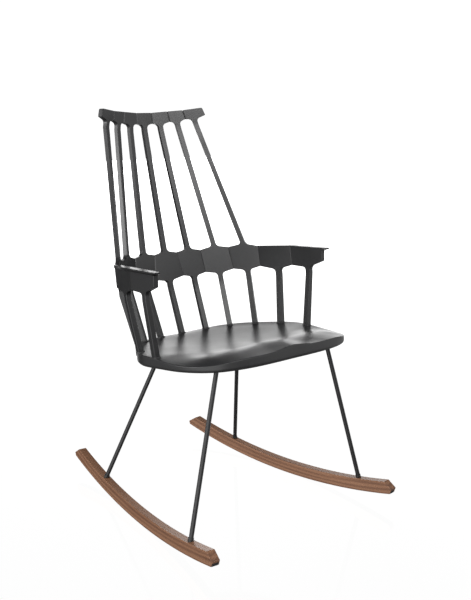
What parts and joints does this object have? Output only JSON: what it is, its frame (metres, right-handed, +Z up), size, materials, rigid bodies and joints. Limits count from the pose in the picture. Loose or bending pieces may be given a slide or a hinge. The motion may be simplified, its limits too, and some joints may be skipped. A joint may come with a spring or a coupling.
{
  "type": "rocking chair",
  "caption": "low rocking chair with a faceted moulded comb back and arms, a saddle seat, slim steel rods and bent wooden rockers",
  "frame": {"origin": "centre of the bottom of the overall box, on the floor, in the symmetry plane of the chair", "axes": "+Z up; -Y is the front, where the sitter's knees are; +X is the sitter's left, which is on the right seen from the front; X=0 is the mirror plane"},
  "size_m": [0.5898, 0.7496, 1.0041],
  "materials": {
    "black_moulding": "satin",
    "rocker_wood": "satin",
    "tread_rubber": "matte",
    "rod_paint": "satin",
    "ferrule_paint": "satin",
    "frame_paint": "matte",
    "plated_steel": "satin",
    "insert_brass": "satin"
  },
  "bodies": {
    "root": {"back_comb": "black_moulding", "seat_shell": "black_moulding", "rocker_left": "rocker_wood", "rocker_right": "rocker_wood", "rocker_tread_left": "tread_rubber", "rocker_tread_right": "tread_rubber", "rod_front_left": "rod_paint", "rod_front_right": "rod_paint", "rod_rear_left": "rod_paint", "rod_rear_right": "rod_paint", "ferrule_front_left": "ferrule_paint", "ferrule_front_right": "ferrule_paint", "ferrule_rear_left": "ferrule_paint", "ferrule_rear_right": "ferrule_paint", "stud_nuts": "plated_steel", "stud_washers": "plated_steel", "frame_side_bar_left": "frame_paint", "frame_side_bar_right": "frame_paint", "frame_crossbar_front": "frame_paint", "frame_crossbar_rear": "frame_paint", "frame_screws": "plated_steel", "frame_washers": "plated_steel", "seat_inserts": "insert_brass", "tenon_screws": "plated_steel", "tenon_washers": "plated_steel"}
  },
  "joints": []
}
